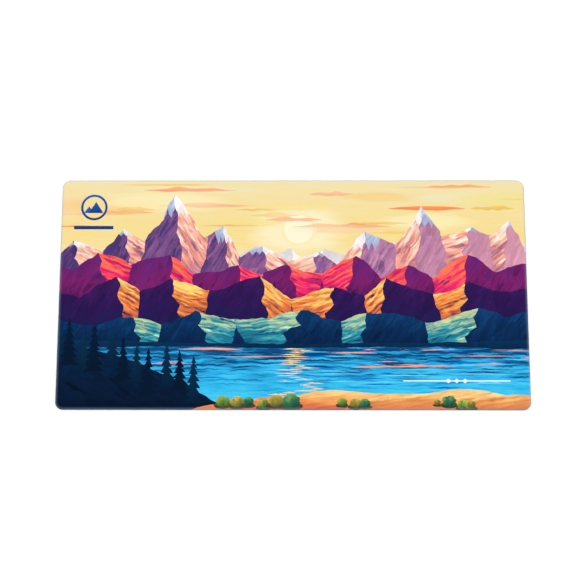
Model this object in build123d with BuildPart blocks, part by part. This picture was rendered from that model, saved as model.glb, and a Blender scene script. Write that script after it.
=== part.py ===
"""A printed desk mat: five laminated layers, each in its own STEP file.

The mat lies flat, 800 mm wide and 400 mm deep. From the desk up it is a rubber sheet that
grips the desk, a sheet of hot-melt film, a foam core, a second film and a printed cloth.
The second film and the cloth turn down over the core's rounded shoulder and end on the
lower film, and the rubber sheet stands out a little past them all round.

Frame: the origin is the centre of the underside, +X runs to the right along the long side,
+Y runs to the back and +Z is up. Lengths are in millimetres.
"""

import os

from build123d import *

# Driving dimensions
mat_length = 800.0
mat_depth = 400.0
mat_height = 4.0
corner_radius = 13.0

base_thickness = 1.0
film_thickness = 0.1
cover_thickness = 0.5

base_lip = 0.4  # the rubber sheet stands out past the cloth by this much
base_edge_radius = 0.3  # the rubber sheet's lower edge
shoulder_run = 5.6  # how far in from the cloth's outline its shoulder starts to fall
shoulder_rise = 2.5  # how far the shoulder falls before it is upright

# Height worked out from them
laminate_floor = base_thickness + film_thickness  # the core, the upper film and the cloth start here

cutter_margin = 1.0  # how far the shoulder's cutter reaches past the slab


def rounded_outline(inset, height):
    """The mat's outline, pulled in by inset, as a closed wire at the given height."""
    half_x = mat_length / 2 - inset
    half_y = mat_depth / 2 - inset
    radius = corner_radius - inset
    with BuildLine(Plane.XY.offset(height)) as outline:
        # It starts in the middle of the front edge, so that a section can be placed there.
        Line((0, -half_y), (half_x - radius, -half_y))
        CenterArc((half_x - radius, -half_y + radius), radius, -90, 90)
        Line((half_x, -half_y + radius), (half_x, half_y - radius))
        CenterArc((half_x - radius, half_y - radius), radius, 0, 90)
        Line((half_x - radius, half_y), (-half_x + radius, half_y))
        CenterArc((-half_x + radius, half_y - radius), radius, 90, 90)
        Line((-half_x, half_y - radius), (-half_x, -half_y + radius))
        CenterArc((-half_x + radius, -half_y + radius), radius, 180, 90)
        Line((-half_x + radius, -half_y), (0, -half_y))
    return outline.wire()


def shouldered_slab(depth_below_top):
    """The solid under the surface that lies depth_below_top beneath the cloth's outside.

    Its upper edge is a quarter ellipse, and all such slabs share the ellipse's centre, so
    that the layer between two of them is about equally thick over the shoulder.
    """
    inset = base_lip + depth_below_top
    top = mat_height - depth_below_top
    run = shoulder_run - depth_below_top
    rise = shoulder_rise - depth_below_top
    front_edge = Plane(
        origin=(0, -mat_depth / 2 + inset, top), x_dir=(0, 1, 0), z_dir=(1, 0, 0)
    )
    with BuildPart() as slab:
        with BuildSketch(Plane.XY.offset(laminate_floor)):
            RectangleRounded(mat_length - 2 * inset, mat_depth - 2 * inset, corner_radius - inset)
        extrude(amount=top - laminate_floor)
        with BuildSketch(front_edge):
            with BuildLine():
                EllipticalCenterArc((run, -rise), run, rise, start_angle=90, arc_size=90)
                Polyline(
                    (0, -rise),
                    (-cutter_margin, -rise),
                    (-cutter_margin, cutter_margin),
                    (run, cutter_margin),
                    (run, 0),
                )
            make_face()
        sweep(path=rounded_outline(inset, top), mode=Mode.SUBTRACT)
    return slab.part


cloth_form = shouldered_slab(0)
film_form = shouldered_slab(cover_thickness)
core_form = shouldered_slab(cover_thickness + film_thickness)

# The rubber sheet that rests on the desk
with BuildPart() as grip_base:
    with BuildSketch():
        RectangleRounded(mat_length, mat_depth, corner_radius)
    extrude(amount=base_thickness)
    fillet(grip_base.edges().group_by(Axis.Z)[0], radius=base_edge_radius)

# The lower film, which holds the core and the cloth's rim to the rubber
with BuildPart() as base_bond_film:
    with BuildSketch(Plane.XY.offset(base_thickness)):
        RectangleRounded(
            mat_length - 2 * base_lip, mat_depth - 2 * base_lip, corner_radius - base_lip
        )
    extrude(amount=film_thickness)

# The foam sheet that makes the mat soft
with BuildPart() as foam_core:
    add(core_form)

# The upper film, a thin tray turned over the core
with BuildPart() as cover_bond_film:
    add(film_form)
    add(core_form, mode=Mode.SUBTRACT)

# The printed cloth, which turns down over the shoulder to the lower film
with BuildPart() as printed_cover:
    add(cloth_form)
    add(film_form, mode=Mode.SUBTRACT)

layers = {
    "grip_base": grip_base,
    "base_bond_film": base_bond_film,
    "foam_core": foam_core,
    "cover_bond_film": cover_bond_film,
    "printed_cover": printed_cover,
}

os.makedirs("parts", exist_ok=True)
for name, layer in layers.items():
    layer.part.label = name
    export_step(layer.part, f"parts/{name}.step")
    print(name, "volume", round(layer.part.volume), "mm3")
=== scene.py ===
"""The looks of a printed desk mat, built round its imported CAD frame.

The mat is five layers. The printed cloth, the foam core and the rubber base are meshes made
here, and the two bonding films are the CAD's own. The cloth's picture is a generic mountain
landscape: flat patches laid over each other like cut paper, which the print material shades.

The frame: the origin is the centre of the underside, +X to the right, +Y to the back, +Z up.
Lengths are in metres, apart from the picture's, which are in millimetres.
"""

import math
import random

import bpy
import numpy as np
from mathutils import Matrix, Vector
from mathutils.geometry import delaunay_2d_cdt


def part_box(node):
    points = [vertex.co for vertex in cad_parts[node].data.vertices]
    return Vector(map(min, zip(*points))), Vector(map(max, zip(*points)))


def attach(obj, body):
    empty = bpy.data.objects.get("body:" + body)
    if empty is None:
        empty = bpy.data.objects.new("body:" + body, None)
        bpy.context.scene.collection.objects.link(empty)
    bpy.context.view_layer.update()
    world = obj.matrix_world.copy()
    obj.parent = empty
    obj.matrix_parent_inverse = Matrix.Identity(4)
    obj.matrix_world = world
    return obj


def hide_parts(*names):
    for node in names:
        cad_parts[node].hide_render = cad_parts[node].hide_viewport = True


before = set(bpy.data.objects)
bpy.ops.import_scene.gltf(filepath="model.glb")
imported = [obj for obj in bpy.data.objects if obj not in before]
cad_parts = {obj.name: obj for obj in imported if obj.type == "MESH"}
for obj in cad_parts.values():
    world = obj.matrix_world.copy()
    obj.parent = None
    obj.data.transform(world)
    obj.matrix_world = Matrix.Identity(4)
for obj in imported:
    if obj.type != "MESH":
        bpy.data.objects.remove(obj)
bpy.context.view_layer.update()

MM = 0.001
dice = random.Random(7)

# The mat's section, as in the CAD
cloth_low, cloth_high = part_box("printed_cover")
core_low, core_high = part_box("foam_core")
base_low, base_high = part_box("grip_base")
cloth_radius = 12.6 * MM
base_radius = 13 * MM
cloth_thickness = 0.5 * MM
core_depth = 0.6 * MM  # of the foam's surface below the cloth's
shoulder_run = 5.6 * MM
shoulder_rise = 2.5 * MM
upright = cloth_high.z - shoulder_rise - cloth_low.z  # below the shoulder the cloth stands straight

corner_steps = 12
side_step = 25 * MM


# ---------------------------------------------------------------- the mat's form


def ellipse_arc():
    """Angles down the shoulder's quarter ellipse, and the cloth's length to each."""
    angles = np.linspace(0, math.pi / 2, 200)
    run = shoulder_run * np.sin(angles)
    rise = shoulder_rise * np.cos(angles)
    steps = np.hypot(np.diff(run), np.diff(rise))
    return angles, np.concatenate([[0], np.cumsum(steps)])


arc_angles, arc_lengths = ellipse_arc()
turned_down = arc_lengths[-1] + upright  # the cloth's length from the flat face to its rim


def fold_over(flat, depth):
    """Takes points of the cloth's flat cut to their place in the mat, depth below its outside."""
    half = np.array([cloth_high.x, cloth_high.y]) - cloth_radius
    past = np.maximum(np.abs(flat) - half, 0)
    reach = np.hypot(past[:, 0], past[:, 1])
    outward = past / np.maximum(reach, 1e-9)[:, None] * np.sign(flat)
    along = np.maximum(reach - (cloth_radius - shoulder_run), 0)
    angle = np.interp(along, arc_lengths, arc_angles)
    straight_down = np.maximum(along - arc_lengths[-1], 0)
    shift = (shoulder_run - depth) * np.sin(angle) - along
    plan = flat + outward * shift[:, None]
    height = cloth_high.z - depth - (shoulder_rise - depth) * (1 - np.cos(angle)) - straight_down
    return np.column_stack([plan, height])


def rounded_loop(half_x, half_y, radius):
    """A rounded rectangle as a closed loop of points, anticlockwise."""
    loop = []
    for turn in range(4):
        sign_x = (1, -1, -1, 1)[turn]
        sign_y = (1, 1, -1, -1)[turn]
        centre = np.array([sign_x * (half_x - radius), sign_y * (half_y - radius)])
        for step in range(corner_steps + 1):
            a = math.pi / 2 * (turn + step / corner_steps)
            loop.append(centre + radius * np.array([math.cos(a), math.sin(a)]))
        length = 2 * (half_y - radius if turn % 2 else half_x - radius)
        side = np.array([(-1, 0), (0, -1), (1, 0), (0, 1)][turn])
        parts = round(length / side_step)
        last = loop[-1]
        for part in range(1, parts):
            loop.append(last + side * length * part / parts)
    return np.array(loop)


def shoulder_loops():
    """The loops that the cloth bends along, in its flat cut, from its face to its rim."""
    loops = []
    for share in (0, 0.2, 0.38, 0.54, 0.68, 0.8, 0.9, 0.96, 1.0):
        along = share * arc_lengths[-1]
        loops.append(cut_loop(along))
    loops.append(cut_loop(turned_down))
    return loops


def cut_loop(along):
    """The loop in the cloth's flat cut that lies along past its flat face."""
    grow = along - shoulder_run
    return rounded_loop(cloth_high.x + grow, cloth_high.y + grow, cloth_radius + grow)


def unevenness(points):
    """How far the cloth stands proud of its place: a slow swell of about a tenth of a millimetre."""
    x, y = points[:, 0], points[:, 1]
    swell = np.sin(23 * x + 9 * y) + np.sin(31 * y - 13 * x + 1) + np.sin(47 * x + 38 * y + 2)
    edge = np.minimum(cloth_high.x - np.abs(x), cloth_high.y - np.abs(y)) - shoulder_run
    fade = np.clip(edge / (30 * MM), 0, 1)
    return (swell + 3) * 0.03 * MM * fade


def border(triangles):
    """The loop of point numbers round a sheet: the edges that only one triangle has."""
    edges = {edge: True for a, b, c in triangles for edge in ((a, b), (b, c), (c, a))}
    onward = {a: b for a, b in edges if (b, a) not in edges}
    loop = [min(onward)]
    while onward[loop[-1]] != loop[0]:
        loop.append(onward[loop[-1]])
    return loop


def cut_sheet(loops, outlines):
    """Cuts the flat sheet inside the last loop along the loops and outlines.

    Returns its points and its triangles, which turn anticlockwise."""
    points = []
    edges = []
    for line in [*loops, *outlines]:
        first = len(points)
        points += [tuple(p) for p in line]
        edges += [(first + i, first + (i + 1) % len(line)) for i in range(len(line))]
    edge_x, edge_y = loops[0].max(axis=0)
    columns, rows = 68, 34
    for x in np.linspace(-edge_x, edge_x, columns)[1:-1]:
        points += [(x, y) for y in np.linspace(-edge_y, edge_y, rows)[1:-1]]
    flat = [Vector(np.array(p) / MM) for p in points]
    merged = 0.02  # points closer than this many millimetres become one
    cut, _, triangles, _, _, _ = delaunay_2d_cdt(flat, edges, [], 0, merged)
    cut = np.array([tuple(p) for p in cut]) * MM
    triangles = np.array([tuple(t) for t in triangles])
    middles = cut[triangles].mean(axis=1)
    triangles = triangles[inside(middles, loops[-1])]
    used, triangles = np.unique(triangles, return_inverse=True)
    return cut[used], triangles.reshape(-1, 3)


def inside(points, outline):
    """Which points lie in a closed outline: a ray to the right crosses it an odd number of times."""
    near = np.all((points >= outline.min(axis=0)) & (points <= outline.max(axis=0)), axis=1)
    x, y = points[near, 0], points[near, 1]
    odd = np.zeros(len(x), bool)
    for (ax, ay), (bx, by) in zip(outline, np.roll(outline, -1, axis=0)):
        if ay != by:
            crosses = (ay > y) != (by > y)
            odd ^= crosses & (x < ax + (y - ay) * (bx - ax) / (by - ay))
    hit = np.zeros(len(points), bool)
    hit[near] = odd
    return hit


def new_piece(name, points, faces, node):
    """A mesh piece that rides with the mat and stands for a CAD node."""
    mesh = bpy.data.meshes.new(name)
    mesh.from_pydata([tuple(p) for p in points], [], [tuple(f) for f in faces])
    piece = bpy.data.objects.new(name, mesh)
    bpy.context.scene.collection.objects.link(piece)
    mesh.shade_smooth()
    mesh.set_sharp_from_angle(angle=math.radians(40))
    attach(piece, "root")
    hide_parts(node)
    return piece


# ---------------------------------------------------------------- the picture

patches = []
daylight = 1.28  # the room's light on the cloth, which the inks make up for
past_side = 430  # the ranges start and end past the picture's sides
below_front = -214  # the foreground's patches end past the picture's front edge
sun_x, sun_y = 10, 112


def linear(hex_colour):
    """A colour written RRGGBB, as linear red, green and blue."""
    values = np.array([int(hex_colour[i : i + 2], 16) for i in (0, 2, 4)]) / 255
    return np.where(values > 0.04045, ((values + 0.055) / 1.055) ** 2.4, values / 12.92) / daylight


def craggy(outline, crag):
    """Breaks an outline's sides into uneven steps, each up to crag times its length off line.

    The longest sides, which other patches cover, stay straight."""
    finest = 7.0
    longest = 300.0
    broken = []
    for start, end in zip(outline, np.roll(outline, -1, axis=0)):
        stretch = [start, end]
        length = np.hypot(*(end - start))
        while finest < length < longest:
            finer = [stretch[0]]
            for a, b in zip(stretch, stretch[1:]):
                side = b - a
                across = np.array([-side[1], side[0]])
                finer += [(a + b) / 2 + across * crag * dice.uniform(-1, 1), b]
            stretch = finer
            length /= 2
        broken += stretch[:-1]
    return np.array(broken)


def patch(inks, outline, within=None, fall=-90, crag=0.07, facets=0.4, strokes=0.2, lean=90,
          sky=0):
    """Lays a patch of the picture over those before it, and returns its number.

    inks are one to three colours, which follow each other in the direction fall, in degrees.
    facets and strokes are how strongly it is broken up along the direction lean, and sky is
    how much it takes on the sky's washes. Its outline is in millimetres from the mat's middle,
    and it shows only inside the patch within.
    """
    colours = [linear(ink) for ink in inks.split()]
    if len(colours) == 1:
        colours = colours * 3
    if len(colours) == 2:
        colours.insert(1, (colours[0] + colours[1]) / 2)
    outline = np.array(outline, float)
    heading = np.array([math.cos(math.radians(fall)), math.sin(math.radians(fall))])
    reach = np.clip(outline, (-400, -200), (400, 200)) @ heading
    span = max(reach.max() - reach.min(), 1)
    fade = np.array([*(heading / span / MM), -reach.min() / span])
    if crag:
        outline = craggy(outline, crag)
    patches.append({
        "outline": outline * MM, "inks": colours, "fade": fade, "within": within,
        "brush": (facets, strokes, math.radians(lean)), "tone": (sky, 1, 0),
    })
    return len(patches) - 1


def shards(within, count, length, width, lean, spread=12, shift=0.3, tone=0.12):
    """Scatters wedge-shaped facets over a patch, pointing along lean.

    Each has the patch's inks, moved along by up to shift and lightened or darkened by up to
    tone."""
    mother = patches[within]
    outline = mother["outline"] / MM
    low, high = outline.min(axis=0), outline.max(axis=0)
    while count:
        start = np.array([dice.uniform(low[0], high[0]), dice.uniform(low[1], high[1])])
        if not inside(start[None], outline)[0]:
            continue
        count -= 1
        heading = math.radians(lean + dice.uniform(-spread, spread))
        along = np.array([math.cos(heading), math.sin(heading)])
        across = np.array([-along[1], along[0]]) * width * dice.uniform(0.3, 0.6)
        reach = along * length * dice.uniform(0.5, 1)
        waist = start + reach * dice.uniform(-0.1, 0.3)
        kite = [start - reach / 2, waist + across, start + reach / 2, waist - across]
        patch("000000", kite, within, crag=0.1)
        shard = patches[-1]
        for share in ("inks", "fade", "brush"):
            shard[share] = mother[share]
        shard["tone"] = (0, 1 + dice.uniform(-tone, tone), dice.uniform(-shift, shift))


def smooth(points, steps=4):
    """A closed outline rounded by a Catmull-Rom curve through its points."""
    p = np.array(points, float)
    before, after, beyond = np.roll(p, 1, axis=0), np.roll(p, -1, axis=0), np.roll(p, -2, axis=0)
    rounded = []
    for i in range(len(p)):
        for t in np.arange(steps) / steps:
            a = 2 * p[i] + (after[i] - before[i]) * t
            b = (2 * before[i] - 5 * p[i] + 4 * after[i] - beyond[i]) * t * t
            c = (3 * p[i] - before[i] - 3 * after[i] + beyond[i]) * t**3
            rounded.append((a + b + c) / 2)
    return np.array(rounded)


def disc(x, y, radius):
    """A circle as a closed outline."""
    steps = 40
    angles = np.linspace(0, 2 * math.pi, steps, endpoint=False)
    return np.column_stack([np.cos(angles), np.sin(angles)]) * radius + (x, y)


def streak(inks, x, y, half, thick, **brushwork):
    """A long thin cloud or ripple, pointed at both ends."""
    upper = []
    lower = []
    steps = 8
    for step in range(1, steps):
        u = 2 * step / steps - 1  # from -1 at the left point to 1 at the right one
        swell = thick * math.cos(math.pi / 2 * u)
        upper.append((x + half * u, y + swell * dice.uniform(0.4, 1.3)))
        lower.append((x + half * u, y - swell * dice.uniform(0.2, 0.7)))
    outline = smooth([(x - half, y), *upper, (x + half, y), *lower[::-1]])
    patch(inks, outline, crag=0, facets=0, lean=0, **brushwork)


def spread_summits(spacing, low, high):
    """Summits in uneven steps from one side of the picture to the other."""
    count = round(2 * past_side / spacing)
    stray = 0.22  # how far a summit may lie off its even place, as a share of the spacing
    summits = []
    for number in range(count + 1):
        x = -past_side + 2 * past_side * number / count + spacing * dice.uniform(-stray, stray)
        summits.append((x, dice.uniform(low, high)))
    return [(-past_side, summits[0][1]), *summits[1:-1], (past_side, summits[-1][1])]


def mountains(summits, sink, foot, shade, lit, across=False, grain=1.0, tone=0.15, snow=None):
    """A range right across the picture, each summit lit on the side that faces the sun.

    The saddles lie about sink below the lower of their two summits, and grain scales the
    facets. shade and lit are the two sides' inks, and across says that the shade's run from
    left to right. snow is the inks of the snow's lit and shaded sides."""
    skyline = [summits[0]]
    for (x, y), (next_x, next_y) in zip(summits, summits[1:]):
        where = (x + next_x) / 2 + (next_x - x) * dice.uniform(-0.14, 0.14)
        skyline += [(where, min(y, next_y) - sink * dice.uniform(0.7, 1.2)), (next_x, next_y)]
    outline = [(-past_side, foot), *skyline, (past_side, foot)]
    bedding = 60  # the lean of the rock's layers, in degrees
    crags = patch(shade, outline, fall=0 if across else -90, crag=0.08, facets=0.5, strokes=0.4,
                  lean=bedding)
    shards(crags, int(60 / grain), 40 * grain, 9 * grain, bedding, spread=20, tone=tone)
    for number in range(2, len(skyline) - 2, 2):
        summit = skyline[number]
        side = 1 if summit[0] < sun_x else -1
        light_face(crags, summit, skyline[number + side], lit, grain, tone)
        if snow:
            snow_cap(crags, summit, skyline[number + side], side, snow)


def light_face(crags, summit, saddle, inks, grain, tone):
    """The sunlit face between a summit and its saddle, with a crooked spur down its dark side."""
    x, y = summit
    run, drop = saddle[0] - x, y - saddle[1]
    deep = 2.0 * drop + 48 * grain  # its foot lies behind the next range
    past = 8  # it starts above the skyline, where the range's own outline cuts it off
    steps = 6
    spur = []
    for step in range(1, steps + 1):
        share = step / steps
        swing = run * (0.45 * share + (0.07 if step % 2 else -0.07) + dice.uniform(-0.04, 0.04))
        spur.append((x + swing, y - deep * share))
    outline = [(x, y + past), (x + run * 1.05, saddle[1] + past + 2),
               (x + run, saddle[1] - drop * 0.6), (x + run * 0.85, y - deep * 0.85),
               (x + run * 0.6, y - deep), *spur[::-1]]
    lean = math.degrees(math.atan2(-drop, run))
    face = patch(inks, outline, crags, fall=-80 if run > 0 else -100, crag=0.1, facets=0.5,
                 strokes=0.7, lean=lean)
    shards(face, int(12 + deep / 5), 34 * grain, 6 * grain, lean, spread=16, tone=tone)
    shards(face, 4, 30 * grain, 4 * grain, lean, spread=10, shift=0.6, tone=2 * tone)


def snow_cap(crags, summit, saddle, side, inks):
    """Snow on a high summit: white towards the sun, blue away from it."""
    x, y = summit
    run, drop = abs(saddle[0] - x), y - saddle[1]
    steps = 4
    tongue, notch = 0.55, 0.32  # how far down the snow's ragged edge reaches
    for towards, ink in ((-side, inks[1]), (side, inks[0])):
        edge = []
        for step in range(steps + 1):
            share = 0.5 * step / steps
            low = tongue if step % 2 else notch
            edge.append((x + towards * run * share, y - drop * (low + 0.1 * share)))
        cap = patch(ink, [(x, y + 8), *edge, (x + towards * run * 0.7, y)], crags, crag=0.1,
                    facets=0.4, strokes=0.9, lean=90 - 35 * towards)
        shards(cap, 7, 26, 4, -90 + 35 * towards, tone=0.12)


def paint_sky():
    """An evening sky with a low pale sun and thin long clouds."""
    patch("F2E1AE F6DC90 F6EBC4", [(-410, 210), (410, 210), (410, 0), (-410, 0)],
          crag=0, facets=0, strokes=0.2, lean=0, sky=1)
    for radius, ink in ((31, "FAE9B4"), (25, "FFF6DA")):
        patch(ink, disc(sun_x, sun_y, radius), crag=0, facets=0, strokes=0.1, sky=0.3)
    clouds = ("FF9A58 FF7E50", "F4A462 F0BC92", "F6D07E F3C870", "FAC8A0 F8B48C", "EFCB72 EFBE58")
    count = 20
    for number in range(count):
        x = -400 + 800 * (number + dice.uniform(0, 1)) / count
        inks = clouds[number * 3 % len(clouds)]
        streak(inks, x, dice.uniform(104, 192), dice.uniform(34, 92), dice.uniform(2.5, 6.5),
               strokes=0.8, sky=0.5)


def paint_ranges():
    """The ranges, from the palest at the back to the darkest at the front."""
    mountains(spread_summits(62, 78, 104), 16, 20, "DDD6DC E4DDE0 F0ECE2", "F3EFE6 F8F2E2",
              grain=0.7, tone=0.03)
    high = [(-past_side, 84), (-378, 92), (-292, 112), (-204, 176), (-118, 118), (-52, 82),
            (44, 72), (124, 108), (222, 154), (306, 116), (372, 128), (past_side, 92)]
    mountains(high, 20, 0, "4A3670 8C5A90 D898AC", "FBE6D2 F6A088 9C6490", across=True,
              grain=1.1, snow=("FBF8F4 EFE8EC", "C2CCE4 9CA6CC"))
    mountains(spread_summits(104, 40, 74), 20, -30, "5C2470 7A1F68 3C1450",
              "FF7A50 F42868 7A1F68", tone=0.2)
    mountains(spread_summits(118, 6, 30), 18, -70, "3A1A58 2C1450 141C4C",
              "FCD878 F0803C 3C1852", tone=0.2)
    mountains(spread_summits(146, -44, -16), 16, -104, "0C3C6C 062A54 041E42",
              "C8D89C 2C98A8 08386A", tone=0.25)


def paint_lake():
    """A lake across the foot of the mountains, with the dark range and the light in it."""
    lake = patch("0A4A80 2CB0E8 48D0F4", [(-410, -92), (410, -92), (410, -210), (-410, -210)],
                 crag=0, facets=0.15, strokes=0.9, lean=0)
    ripples = (("0A3A68 0A4478", -116), ("7CE0F4 48C4F0", -190), ("F4B08C E8908C", -130),
               ("0C80D0 0A70C0", -210))
    for number in range(80):
        inks, deepest = ripples[number % len(ripples)]
        streak(inks, dice.uniform(-230, 400), dice.uniform(-95, deepest), dice.uniform(14, 60),
               dice.uniform(0.8, 2.4), within=lake, strokes=0.5)
    glitter = 26
    for number in range(glitter):
        y = -97 - 84 * number / glitter
        x = sun_x + (number + 8) * dice.uniform(-1.1, 1.1)
        streak("FCE8B0 FAC880", x, y, dice.uniform(8, 26), dice.uniform(0.8, 1.8), within=lake,
               strokes=0.3)
    patch("063054 042648", smooth([(-412, -82), (-200, -86), (0, -88), (200, -86), (412, -82),
                                   (412, -96), (220, -93), (0, -95), (-200, -92), (-412, -95)]),
          crag=0.03)


def paint_bank():
    """The dark bank at the left."""
    bank = patch("06284C 041C3A 03142C", smooth([(-420, -88), (-350, -96), (-276, -116),
                 (-214, -142), (-168, -164), (-120, below_front), (-420, below_front)]),
                 facets=0.6, lean=-25)
    shards(bank, 30, 44, 8, -25, tone=0.5)


def paint_dunes():
    """Warm dunes along the front, each with its crest's height, its left end and its phase."""
    dunes = (("FBD488 F6A860 E07C48", -177, -200, 0), ("F8C070 F08C50 C05444", -186, -150, 2.4),
             ("FCDC94 F0A45C D07048", -176, 60, 4.4))
    right = 420
    step = 20
    for inks, crest, start, phase in dunes:
        ridge = []
        for x in range(start, right + 1, step):
            rise = 9 * math.sin(x / 74 + phase) + 4 * math.sin(x / 31 + phase)
            ridge.append((x, crest + rise - 34 * math.exp(-(x - start) / 50)))
        dune = patch(inks, [*ridge, (right, below_front), (start, below_front)], crag=0.02,
                     facets=0.25, strokes=0.7, lean=8)
        shards(dune, 16, 60, 5, 6, spread=8, tone=0.08)


def paint_firs():
    """A row of firs down the bank."""
    spacing = 23
    for number in range(11):
        x = -402 + spacing * number + dice.uniform(-5, 5)
        top = -50 - 5 * number + dice.uniform(-12, 12)
        inks = ("06304A 021C38", "021A38 02162C")[number % 2]
        conifer(inks, x, top, dice.uniform(12, 17), foot=top - dice.uniform(66, 80))


def paint_bushes():
    """Three clumps of bushes on the dunes, each bush over a dark patch of undergrowth."""
    leaves = ("B4BC58 6C8C3C 2C5430", "CCB458 8C8438 3C4C28", "78A060 30704C 0C4038")
    spacing = 21
    for start, count, largest in ((-112, 6, 19), (78, 3, 10), (240, 4, 13)):
        for number in range(count):
            size = largest * dice.uniform(0.45, 1)
            x = start + spacing * number + dice.uniform(-7, 7)
            low = -196 + dice.uniform(0, 7)
            bush("5C4A2C 34402C", x, low - 3, 1.3 * size, 0.5 * size, int(size), facets=0.6)
            inks = leaves[(number + count) % len(leaves)]
            bush(inks, x, low + 0.35 * size, size, 0.8 * size, int(2 * size), facets=0.3,
                 fall=-70)


def bush(inks, x, y, half_x, half_y, dabs, **brushwork):
    """A leafy bush: a lumpy blob with a ragged edge, broken up by dabs of leaves."""
    outline = []
    leaves = int((half_x + half_y) * 0.6)
    first, second = dice.uniform(0, 6), dice.uniform(0, 6)
    for step in range(2 * leaves):
        angle = math.pi * step / leaves
        reach = 1 + 0.03 * math.sin(3 * angle + first) + 0.03 * math.sin(5 * angle + second)
        reach += dice.uniform(-0.08, 0.1)
        outline.append((x + half_x * reach * math.cos(angle),
                        y + half_y * reach * math.sin(angle)))
    shrub = patch(inks, outline, crag=0, **brushwork)
    shards(shrub, dabs, 12, 7, -90, spread=80, shift=0.16, tone=0.1)


def conifer(inks, x, top, half, foot, levels=7):
    """A dark tree with drooping branches."""
    sides = []
    for side in (-1, 1):
        edge = []
        for level in range(1, levels + 1):
            y = top + (foot - top) * (level + dice.uniform(-0.2, 0.2)) / levels
            reach = half * level / levels + dice.uniform(-1, 1)
            edge.append((x + side * (reach + 2), y))
            edge.append((x + side * reach * 0.55, y - dice.uniform(0, 1)))
        sides.append(edge)
    patch(inks, [(x, top), *sides[0], *sides[1][::-1]], crag=0.04, facets=0.2)


def paint_emblem():
    """A plain ring with two small hills in it, over a plain bar, at the top left."""
    x, y, ring, thickness = -344, 151, 23, 4
    foot = 141
    for radius, ink in ((ring, "1A5FB4 123E7C"), (ring - thickness, "F8DC9C F6D890")):
        patch(ink, disc(x, y, radius), crag=0, facets=0, strokes=0)
    for hill_x, hill_y, half, ink in ((-353, 153, 9, "1A5FB4"), (-341, 161, 13, "1A5FB4 123E7C")):
        patch(ink, [(hill_x - half, foot), (hill_x, hill_y), (hill_x + half, foot)], crag=0,
              facets=0, strokes=0)
    patch("123E7C", [(-378, 118), (-310, 118), (-310, 112), (-378, 112)], crag=0, facets=0,
          strokes=0)


def paint_rule():
    """A plain white rule with three small diamonds, at the lower right."""
    y, left, right, half = -151, 186, 366, 1.0
    spacing = 14
    middle = (left + right) / 2
    shapes = [[(left, y + half), (right, y + half), (right, y - half), (left, y - half)]]
    for x in (middle - spacing, middle, middle + spacing):
        shapes.append([(x - 5, y), (x, y + 4), (x + 5, y), (x, y - 4)])
    for shape in shapes:
        patch("F4F6F8", shape, crag=0, facets=0, strokes=0)


def paint_picture():
    """Lays every patch of the landscape, from the back of the view to its front."""
    paint_sky()
    paint_ranges()
    paint_lake()
    paint_bank()
    paint_dunes()
    paint_firs()
    paint_bushes()
    paint_emblem()
    paint_rule()


# ---------------------------------------------------------------- materials


class Graph:
    """A new material's nodes, with short ways to add to them."""

    def __init__(self, name):
        self.material = bpy.data.materials.new(name)
        self.material.use_nodes = True
        self.tree = self.material.node_tree
        self.shader = self.tree.nodes["Principled BSDF"]

    def feed(self, socket, value):
        if isinstance(value, bpy.types.NodeSocket):
            self.tree.links.new(value, socket)
        else:
            socket.default_value = value

    def node(self, kind, inputs, output=0, **settings):
        new = self.tree.nodes.new("ShaderNode" + kind)
        for name, value in settings.items():
            setattr(new, name, value)
        for key, value in inputs.items():
            self.feed(new.inputs[key], value)
        return new.outputs[output]

    def math(self, operation, *values, clamp=False):
        return self.node("Math", dict(enumerate(values)), operation=operation, use_clamp=clamp)

    def vector(self, operation, *values, output=0):
        return self.node("VectorMath", dict(enumerate(values)), output, operation=operation)

    def mix(self, factor, a, b):
        inputs = {0: factor, 6: a, 7: b}
        return self.node("Mix", inputs, 2, data_type="RGBA")

    def attribute(self, name):
        return self.node("Attribute", {}, "Vector", attribute_name=name)

    def parts(self, vector):
        split = self.tree.nodes.new("ShaderNodeSeparateXYZ")
        self.feed(split.inputs[0], vector)
        return split.outputs

    def noise(self, vector, scale, detail=2.0, output=0):
        inputs = {"Vector": vector, "Scale": scale, "Detail": detail}
        return self.node("TexNoise", inputs, output, noise_dimensions="2D")

    def finish(self, **sockets):
        for name, value in sockets.items():
            self.feed(self.shader.inputs[name.replace("_", " ")], value)
        return self.material


def black(value=0.0):
    return (value, value, value, 1.0)


def sky_washes():
    """Soft washes in the sky: middle and half size in mm, colour and strength."""
    inks = ("F9CFA0", "F6CE84", "FBF0BC", "EDE6BC", "F2E088", "F9DE90")
    washes = [(sun_x, sun_y, 90, 44, "FCF2CC", 0.8)]
    for number in range(11):
        x = -380 + 76 * number
        washes.append((x, dice.uniform(104, 190), dice.uniform(60, 130), dice.uniform(5, 20),
                       inks[number % len(inks)], 0.65))
    return washes


def wash_sky(graph, place, colour, sky):
    """Mixes each wash over the sky's colour, with ragged streaky edges."""
    streaked = graph.vector("MULTIPLY", place, (9, 60, 0))
    drift = graph.noise(streaked, 1.0, 4.0, output="Color")
    drift = graph.vector("SUBTRACT", drift, (0.5, 0.5, 0.5))
    drift = graph.vector("MULTIPLY", drift, (0.05, 0.012, 0))
    ragged = graph.vector("ADD", place, drift)
    for x, y, half_x, half_y, ink, strength in sky_washes():
        away = graph.vector("SUBTRACT", ragged, (x * MM, y * MM, 1))
        scaled = graph.vector("MULTIPLY", away, (1 / (half_x * MM), 1 / (half_y * MM), 0))
        away = graph.vector("LENGTH", scaled, output="Value")
        inputs = {"Value": away, "From Min": 1.15, "From Max": 0.55, "To Max": strength}
        cover = graph.node("MapRange", inputs, interpolation_type="SMOOTHSTEP")
        cover = graph.math("MULTIPLY", cover, sky)
        colour = graph.mix(cover, colour, (*linear(ink), 1))
    return colour


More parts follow.
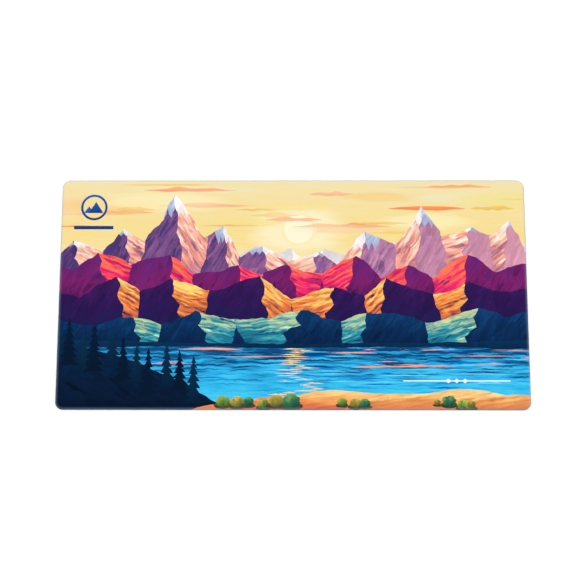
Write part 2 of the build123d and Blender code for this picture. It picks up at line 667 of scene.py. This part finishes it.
def print_material():
    """Dye-printed polyester: each patch's inks, broken into facets and strokes, on a fine weave."""
    graph = Graph("printed cloth")
    place = graph.attribute("print_at")
    brush = graph.parts(graph.attribute("brush"))
    sky, own_tone, own_shift = graph.parts(graph.attribute("tone"))

    turn_back = graph.math("MULTIPLY", brush[2], -1.0)
    turned = graph.node("VectorRotate", {"Vector": place, "Angle": turn_back},
                        rotation_type="Z_AXIS")
    warp = graph.vector("SUBTRACT", graph.noise(place, 45.0, output="Color"), (0.5, 0.5, 0.5))
    warped = graph.vector("ADD", turned, graph.vector("MULTIPLY", warp, (0.014, 0.007, 0)))
    shards = []
    for stretch in ((38, 105, 0), (95, 240, 0)):
        cells = {"Vector": graph.vector("MULTIPLY", warped, stretch), "Scale": 1.0}
        shards.append(graph.parts(graph.node("TexVoronoi", cells, "Color",
                                             voronoi_dimensions="2D")))
    shard = graph.math("ADD", graph.math("MULTIPLY", shards[0][0], 0.62),
                       graph.math("MULTIPLY", shards[1][0], 0.38))
    shard = graph.math("SUBTRACT", shard, 0.5)
    stroke = graph.noise(graph.vector("MULTIPLY", warped, (14, 230, 0)), 1.0, 3.0)
    stroke = graph.math("MULTIPLY", graph.math("SUBTRACT", stroke, 0.5), 2.2)
    mottle = graph.math("SUBTRACT", graph.noise(place, 22.0, 4.0), 0.5)

    along = graph.vector("DOT_PRODUCT", place, graph.attribute("fade"), output="Value")
    # The marks die out towards the foot, where a patch sinks into the next one's colour.
    marks = graph.math("ADD", graph.math("MULTIPLY", shard, brush[0]), own_shift)
    marks = graph.math("ADD", marks, graph.math("MULTIPLY", stroke, brush[1]))
    marks = graph.math("ADD", marks, graph.math("MULTIPLY", mottle, 0.22))
    reach = {"Value": along, "From Min": 0.45, "From Max": 1.0, "To Min": 1.0, "To Max": 0.15}
    marks = graph.math("MULTIPLY", marks, graph.node("MapRange", reach))
    along = graph.math("ADD", along, marks)
    first = graph.math("MULTIPLY", along, 2.0, clamp=True)
    second = graph.math("SUBTRACT", graph.math("MULTIPLY", along, 2.0), 1.0, clamp=True)
    colour = graph.mix(first, graph.attribute("ink_top"), graph.attribute("ink_mid"))
    colour = graph.mix(second, colour, graph.attribute("ink_foot"))

    tone = graph.math("SUBTRACT", shards[0][1], 0.5)
    tone = graph.math("MULTIPLY", graph.math("MULTIPLY", tone, brush[0]), 0.5)
    tone = graph.math("ADD", tone, own_tone)
    colour = graph.vector("SCALE", colour)
    graph.feed(colour.node.inputs["Scale"], tone)
    colour = wash_sky(graph, place, colour, sky)

    # Painted highlight: where the cloth is drawn down over the shoulder, its colour is mixed towards
    # a pale blue, a painted sheen that stands in for the light the shoulder catches.
    height = graph.parts(solid_place(graph))[2]
    painted_shoulder_sheen = {"Value": height, "From Min": 3.96 * MM, "From Max": 3.4 * MM, "To Max": 0.13}
    painted_shoulder_sheen = graph.node("MapRange", painted_shoulder_sheen)
    colour = graph.mix(painted_shoulder_sheen, colour, (0.3, 0.44, 0.62, 1))
    return weave(graph, place, colour)


def weave(graph, place, colour):
    """Gives a cloth material its fine plain weave, as height only, and a matt finish."""
    threads = []
    for direction in ("X", "Y"):
        inputs = {"Vector": place, "Scale": 630.0, "Distortion": 0.6, "Detail": 1.0}
        threads.append(graph.node("TexWave", inputs, 1, bands_direction=direction))
    height = graph.math("MULTIPLY", threads[0], threads[1])
    fuzz = graph.noise(place, 1500.0, 3.0)
    height = graph.math("ADD", height, graph.math("MULTIPLY", fuzz, 0.5))
    bump = graph.node("Bump", {"Strength": 0.25, "Distance": 0.00005, "Height": height})
    return graph.finish(Base_Color=colour, Roughness=0.65, Specular_IOR_Level=0.03, Normal=bump)


def cloth_back_material():
    """The cloth's undyed inner side."""
    graph = Graph("cloth back")
    place = graph.attribute("print_at")
    tone = graph.noise(place, 60.0)
    colour = graph.mix(tone, (0.72, 0.72, 0.7, 1), (0.82, 0.82, 0.8, 1))
    return weave(graph, place, colour)


def solid_place(graph):
    """Where a point lies in the mat, for materials without a flat cut."""
    return graph.node("TexCoord", {}, "Object")


def foam_material():
    """Black sponge rubber with closed cells."""
    graph = Graph("sponge rubber")
    place = solid_place(graph)
    cells = graph.node("TexVoronoi", {"Vector": place, "Scale": 1400.0}, 0)
    blotch = graph.node("TexNoise", {"Vector": place, "Scale": 40.0}, 0)
    colour = graph.mix(cells, black(0.012), black(0.05))
    colour = graph.mix(graph.math("MULTIPLY", blotch, 0.4), colour, (0.03, 0.028, 0.03, 1))
    bump = graph.node("Bump", {"Strength": 0.8, "Distance": 0.0003, "Height": cells})
    return graph.finish(Base_Color=colour, Roughness=0.92, Specular_IOR_Level=0.3, Normal=bump)


def rubber_material():
    """Solid black rubber, slightly dusty, with a fine matt grain."""
    graph = Graph("grip rubber")
    place = solid_place(graph)
    grain = graph.node("TexNoise", {"Vector": place, "Scale": 900.0, "Detail": 4.0}, 0)
    dust = graph.node("TexNoise", {"Vector": place, "Scale": 18.0, "Detail": 5.0}, 0)
    colour = graph.mix(dust, black(0.014), black(0.034))
    colour = graph.mix(graph.math("MULTIPLY", grain, 0.3), colour, black(0.05))
    rough = graph.math("ADD", graph.math("MULTIPLY", dust, 0.25), 0.6)
    bump = graph.node("Bump", {"Strength": 0.5, "Distance": 0.0002, "Height": grain})
    return graph.finish(Base_Color=colour, Roughness=rough, Specular_IOR_Level=0.35,
                        Normal=bump)


def film_material():
    """Thin milky hot-melt film."""
    graph = Graph("melt film")
    place = solid_place(graph)
    cloudy = graph.node("TexNoise", {"Vector": place, "Scale": 70.0, "Detail": 3.0}, 0)
    colour = graph.mix(cloudy, (0.62, 0.6, 0.54, 1), (0.8, 0.78, 0.72, 1))
    rough = graph.math("ADD", graph.math("MULTIPLY", cloudy, 0.2), 0.3)
    bump = graph.node("Bump", {"Strength": 0.2, "Distance": 0.0001, "Height": cloudy})
    return graph.finish(Base_Color=colour, Roughness=rough, Transmission_Weight=0.15, Normal=bump)


# ---------------------------------------------------------------- the pieces


def face_data(mesh, name, values):
    """Stores one vector for each face."""
    attribute = mesh.attributes.new(name, "FLOAT_VECTOR", "FACE")
    attribute.data.foreach_set("vector", np.asarray(values, np.float32).ravel())


def point_data(mesh, name, values):
    """Stores one vector for each point."""
    attribute = mesh.attributes.new(name, "FLOAT_VECTOR", "POINT")
    attribute.data.foreach_set("vector", np.asarray(values, np.float32).ravel())


def top_patches(points):
    """The number of the uppermost patch at each point."""
    top = np.zeros(len(points), int)
    covers = []
    for number, patch in enumerate(patches):
        cover = inside(points, patch["outline"])
        if patch["within"] is not None:
            cover &= covers[patch["within"]]
        covers.append(cover)
        top[cover] = number
    return top


def store_print(mesh, flat, triangles, back):
    """Gives each outer face the inks and brushwork of its patch, and each point its flat place."""
    owner = top_patches(flat[triangles].mean(axis=1))
    owner = np.concatenate([owner, np.zeros(len(mesh.polygons) - len(triangles), int)])
    for number, name in enumerate(("ink_top", "ink_mid", "ink_foot")):
        face_data(mesh, name, np.array([patch["inks"][number] for patch in patches])[owner])
    for name in ("fade", "brush", "tone"):
        face_data(mesh, name, np.array([patch[name] for patch in patches])[owner])
    cut = np.concatenate([flat, back])
    point_data(mesh, "print_at", np.column_stack([cut, np.ones(len(cut))]))


def make_cover():
    """The printed cloth: a closed sheet, flat on the foam and turned down over its shoulder."""
    paint_picture()
    loops = shoulder_loops()
    flat, triangles = cut_sheet(loops, [patch["outline"] for patch in patches])
    rim = border(triangles)
    back, back_triangles = cut_sheet([*loops[:-1], flat[rim]], [])
    back_rim = border(back_triangles)
    start = np.argmin(np.hypot(*(back[back_rim] - flat[rim[0]]).T))
    back_rim = np.roll(back_rim, -start) + len(flat)
    joint = []
    for a, b, c, d in zip(rim, np.roll(rim, -1), back_rim, np.roll(back_rim, -1)):
        joint += [(b, a, c), (b, c, d)]
    outside = fold_over(flat, 0)
    outside[:, 2] += unevenness(flat)
    inner = fold_over(back, cloth_thickness)
    inner[:, 2] += unevenness(back)
    faces = np.concatenate([triangles, back_triangles[:, ::-1] + len(flat), np.array(joint)])
    cover = new_piece("printed_cloth", np.concatenate([outside, inner]), faces,
                      "printed_cover")
    mesh = cover.data
    store_print(mesh, flat, triangles, back)
    mesh.materials.append(print_material())
    mesh.materials.append(cloth_back_material())
    side = np.zeros(len(faces), np.int32)
    side[len(triangles):] = 1
    mesh.polygons.foreach_set("material_index", side)
    return cover


def make_core():
    """The foam under the cloth, with the same shoulder."""
    flat, triangles = cut_sheet(shoulder_loops(), [])
    top = fold_over(flat, core_depth)
    faces = [tuple(t) for t in triangles] + [tuple(border(triangles)[::-1])]
    core = new_piece("sponge_core", top, faces, "foam_core")
    core.data.materials.append(foam_material())
    return core


def make_base():
    """The rubber sheet: flat above, with a wavy grip tread below."""
    edge = 0.3 * MM
    top = base_high.z
    loops = []
    for inset, height in ((2 * MM, top), (0, top), (0, edge), (edge * 0.3, edge * 0.3), (edge, 0)):
        loop = rounded_loop(base_high.x - inset, base_high.y - inset, base_radius - inset)
        loops.append(np.column_stack([loop, np.full(len(loop), height)]))
    size = len(loops[0])
    points = list(np.concatenate(loops))
    faces = [tuple(range(size))]
    for ring in range(len(loops) - 1):
        for i in range(size):
            j = (i + 1) % size
            a = ring * size
            faces.append((a + j, a + i, a + size + i, a + size + j))
    tread_points, tread_faces, border = tread(len(points))
    points += tread_points
    faces += tread_faces
    last = list(range((len(loops) - 1) * size, len(loops) * size))
    faces += frame_faces(points, last, border)
    base = new_piece("rubber_base", points, faces, "grip_base")
    base.data.materials.append(rubber_material())
    return base


def tread(first):
    """The grip tread: wavy grooves across the underside, inside a plain border.

    Returns its points, its faces and the loop of points round it."""
    pitch, wave, sway, groove = 6.0 * MM, 24.0 * MM, 1.6 * MM, 0.35 * MM
    margin = 8 * MM
    easing = 6  # columns over which the waves die out at either end
    ribs = int((2 * base_high.x - 2 * margin) / pitch)
    rows = int((2 * base_high.y - 2 * margin) / (wave / 4))
    columns = 4 * ribs
    points = []
    for row in range(rows + 1):
        y = (row / rows - 0.5) * rows * wave / 4
        for column in range(columns + 1):
            x = (column / columns - 0.5) * ribs * pitch
            at_end = row in (0, rows) or column in (0, columns)
            ease = min(column, columns - column, easing) / easing
            shift = 0 if at_end else sway * ease * math.sin(2 * math.pi * y / wave)
            height = 0 if at_end or column % 4 in (0, 1) else groove
            points.append((x + shift, y, height))
    faces = []
    wide = columns + 1
    for row in range(rows):
        for column in range(columns):
            a = first + row * wide + column
            faces.append((a, a + wide, a + wide + 1, a + 1))
    border = [first + c for c in range(columns)]
    border += [first + r * wide + columns for r in range(rows)]
    border += [first + rows * wide + c for c in range(columns, 0, -1)]
    border += [first + r * wide for r in range(rows, 0, -1)]
    return points, faces, border


def frame_faces(points, outer, inner):
    """Fills the flat frame between two loops on the underside, facing down."""
    names = outer + inner
    flat = [Vector(points[i][:2]) / MM for i in names]
    edges = []
    for start, length in ((0, len(outer)), (len(outer), len(inner))):
        edges += [(start + i, start + (i + 1) % length) for i in range(length)]
    _, _, triangles, sources, _, _ = delaunay_2d_cdt(flat, edges, [], 0, 1e-4)
    middles = np.array([np.mean([points[names[sources[i][0]]][:2] for i in t], axis=0)
                        for t in triangles])
    hole = np.array([points[i][:2] for i in inner])
    keep = ~inside(middles, hole)
    keep &= inside(middles, np.array([points[i][:2] for i in outer]))
    return [tuple(names[sources[i][0]] for i in reversed(t)) for t, k in zip(triangles, keep) if k]


def finish_films():
    """The two films keep their CAD shape and get a film's material."""
    material = film_material()
    for name in ("cover_bond_film", "base_bond_film"):
        for material_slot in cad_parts[name].material_slots:
            material_slot.material = material


# ---------------------------------------------------------------- the studio


def make_floor():
    """A plain white floor."""
    reach = 6.0
    mesh = bpy.data.meshes.new("floor")
    corners = [(-reach, -reach, 0), (reach, -reach, 0), (reach, reach, 0), (-reach, reach, 0)]
    mesh.from_pydata(corners, [], [(0, 1, 2, 3)])
    floor = bpy.data.objects.new("floor", mesh)
    bpy.context.scene.collection.objects.link(floor)
    floor.location.z = -0.05 * MM
    graph = Graph("floor")
    place = solid_place(graph)
    tone = graph.node("TexNoise", {"Vector": place, "Scale": 3.0}, 0)
    colour = graph.mix(tone, black(0.9), black(0.92))
    mesh.materials.append(graph.finish(Base_Color=colour, Roughness=0.9, Specular_IOR_Level=0.1))


def light_studio():
    """A white room, brightest half way up, and dark overhead where the cloth would mirror it."""
    brightest = 2.3
    tilt = math.radians(12)
    world = bpy.data.worlds.new("studio")
    world.use_nodes = True
    tree = world.node_tree
    direction = tree.nodes.new("ShaderNodeTexCoord")
    closeness = tree.nodes.new("ShaderNodeVectorMath")
    closeness.operation = "DOT_PRODUCT"
    closeness.inputs[1].default_value = (0, math.sin(tilt), math.cos(tilt))
    ramp = tree.nodes.new("ShaderNodeValToRGB")
    stops = ramp.color_ramp.elements
    while len(stops) < 4:
        stops.new(0.5)
    for stop, (place, level) in zip(stops, ((0.25, 0.44), (0.5, 1.0), (0.72, 1.0), (0.9, 0.01))):
        stop.position = place
        stop.color = (level, level, level, 1)
    tree.links.new(direction.outputs["Generated"], closeness.inputs[0])
    tree.links.new(closeness.outputs["Value"], ramp.inputs["Fac"])
    tree.links.new(ramp.outputs["Color"], tree.nodes["Background"].inputs["Color"])
    tree.nodes["Background"].inputs["Strength"].default_value = brightest
    bpy.context.scene.world = world


def place_camera():
    """An 85 mm lens over the mat, leaning back a little from the front edge."""
    distance, lean, side, roll = 2.328, 11.745, 0.475, 0.114
    aim = Vector((-8.4 * MM, 9.5 * MM, 0))
    back = Vector((math.tan(math.radians(side)), -math.tan(math.radians(lean)), 1)).normalized()
    right = Vector((0, 1, 0)).cross(back).normalized()
    turn = Matrix((right, back.cross(right), back)).transposed().to_4x4()
    data = bpy.data.cameras.new("camera")
    data.lens = 85
    data.clip_end = 50
    camera = bpy.data.objects.new("camera", data)
    camera.location = aim + back * distance
    camera.rotation_euler = (turn @ Matrix.Rotation(math.radians(roll), 4, "Z")).to_euler()
    bpy.context.scene.collection.objects.link(camera)
    bpy.context.scene.camera = camera


make_cover()
make_core()
make_base()
finish_films()
make_floor()
light_studio()
place_camera()
scene = bpy.context.scene
scene.view_settings.view_transform = "Standard"
scene.view_settings.look = "None"
